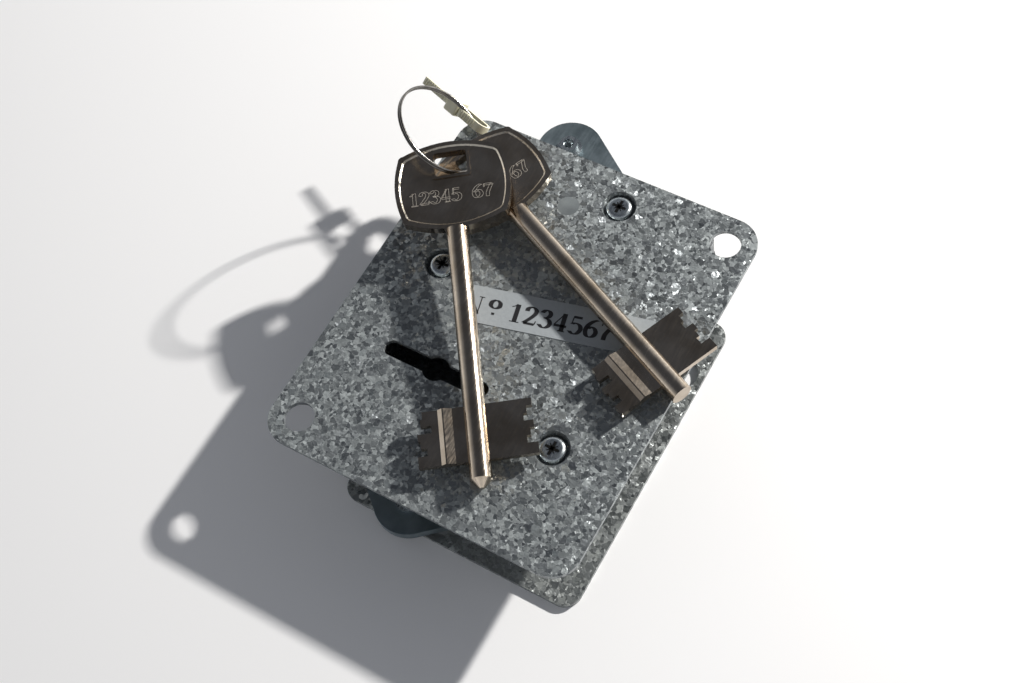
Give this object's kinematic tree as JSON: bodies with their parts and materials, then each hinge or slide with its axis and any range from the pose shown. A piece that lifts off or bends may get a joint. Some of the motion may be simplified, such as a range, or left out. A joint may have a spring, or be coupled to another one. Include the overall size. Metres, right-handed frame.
{
  "type": "main door lock",
  "caption": "Double-bit lever lock with a sheet cover and case, two sliding rod carriages geared together, sprung levers, and its keys on a split ring.",
  "frame": {"origin": "on the key's axis, on the underside of the back plate", "axes": "+X along the keyhole, +Y along the rods' travel towards the upper rod, +Z out of the cover along the key's axis"},
  "size_m": [0.1247, 0.1451, 0.0454],
  "materials": {
    "galvanised": "zinc-coated sheet with a crystalline spangle",
    "dark_steel": "blue-grey oiled steel, matt",
    "bright_zinc": "bright zinc-plated turned steel",
    "lever_brass": "stamped brass sheet",
    "spring_steel": "blued spring steel",
    "key_nickel": "nickel plate, mirror finish, warm",
    "ring_steel": "nickel-plated round wire",
    "nylon": "natural milky nylon",
    "label_paper": "pale grey printed paper"
  },
  "bodies": {
    "housing": {"cover_plate": "galvanised", "case_tray": "galvanised", "back_plate": "galvanised", "screw_posts": "bright_zinc", "cover_screws": "bright_zinc", "back_rivets": "bright_zinc", "guide_rivet": "bright_zinc", "pinion_post": "bright_zinc", "pinion_spacer": "bright_zinc", "lever_post": "bright_zinc", "lever_spacers": "bright_zinc", "key_1": "key_nickel", "key_2": "key_nickel", "split_ring": "ring_steel", "cable_tie": "nylon", "number_label": "label_paper"},
    "lower_rod_slide": {"lower_carriage": "dark_steel", "lower_rod_bush": "bright_zinc", "rod_stump": "bright_zinc"},
    "upper_rod_slide": {"upper_carriage": "dark_steel", "upper_rod_bush": "bright_zinc"},
    "pinion_gear": {"pinion": "dark_steel"},
    "lever_body_1": {"lever_1": "lever_brass", "lever_spring_1": "spring_steel"},
    "lever_body_2": {"lever_2": "lever_brass", "lever_spring_2": "spring_steel"},
    "lever_body_3": {"lever_3": "lever_brass", "lever_spring_3": "spring_steel"},
    "lever_body_4": {"lever_4": "lever_brass", "lever_spring_4": "spring_steel"},
    "lever_body_5": {"lever_5": "lever_brass", "lever_spring_5": "spring_steel"},
    "lever_body_6": {"lever_6": "lever_brass", "lever_spring_6": "spring_steel"}
  },
  "joints": [
    {"name": "lower_slide", "type": "slide", "parent": "housing", "child": "lower_rod_slide", "axis": [0, -1, 0], "range_m": [0, 0.018]},
    {"name": "upper_slide", "type": "slide", "parent": "housing", "child": "upper_rod_slide", "axis": [0, 1, 0], "range_m": [0, 0.018]},
    {"name": "pinion_spin", "type": "hinge", "parent": "housing", "child": "pinion_gear", "pos_m": [0.0055, 0.044, 0.0047], "axis": [0, 0, -1], "range_deg": [0, 147.5]},
    {"name": "lever_pivot_1", "type": "hinge", "parent": "housing", "child": "lever_body_1", "pos_m": [0.031, -0.014, 0.00745], "axis": [0, 0, -1], "range_deg": [0, 4], "stiffness_Nm_per_rad": 0.12, "springref_deg": -6.88, "deforming": ["lever_spring_1"]},
    {"name": "lever_pivot_2", "type": "hinge", "parent": "housing", "child": "lever_body_2", "pos_m": [0.031, -0.014, 0.0096], "axis": [0, 0, -1], "range_deg": [0, 4], "stiffness_Nm_per_rad": 0.12, "springref_deg": -6.88, "deforming": ["lever_spring_2"]},
    {"name": "lever_pivot_3", "type": "hinge", "parent": "housing", "child": "lever_body_3", "pos_m": [0.031, -0.014, 0.01175], "axis": [0, 0, -1], "range_deg": [0, 4], "stiffness_Nm_per_rad": 0.12, "springref_deg": -6.88, "deforming": ["lever_spring_3"]},
    {"name": "lever_pivot_4", "type": "hinge", "parent": "housing", "child": "lever_body_4", "pos_m": [0.031, -0.014, 0.0139], "axis": [0, 0, -1], "range_deg": [0, 4], "stiffness_Nm_per_rad": 0.12, "springref_deg": -6.88, "deforming": ["lever_spring_4"]},
    {"name": "lever_pivot_5", "type": "hinge", "parent": "housing", "child": "lever_body_5", "pos_m": [0.031, -0.014, 0.01605], "axis": [0, 0, -1], "range_deg": [0, 4], "stiffness_Nm_per_rad": 0.12, "springref_deg": -6.88, "deforming": ["lever_spring_5"]},
    {"name": "lever_pivot_6", "type": "hinge", "parent": "housing", "child": "lever_body_6", "pos_m": [0.031, -0.014, 0.0182], "axis": [0, 0, -1], "range_deg": [0, 4], "stiffness_Nm_per_rad": 0.12, "springref_deg": -6.88, "deforming": ["lever_spring_6"]}
  ],
  "couplings": [
    {"joint": "upper_slide", "follows": "lower_slide", "ratio": 1},
    {"joint": "pinion_spin", "follows": "lower_slide", "rad_per_m": 142.86}
  ]
}
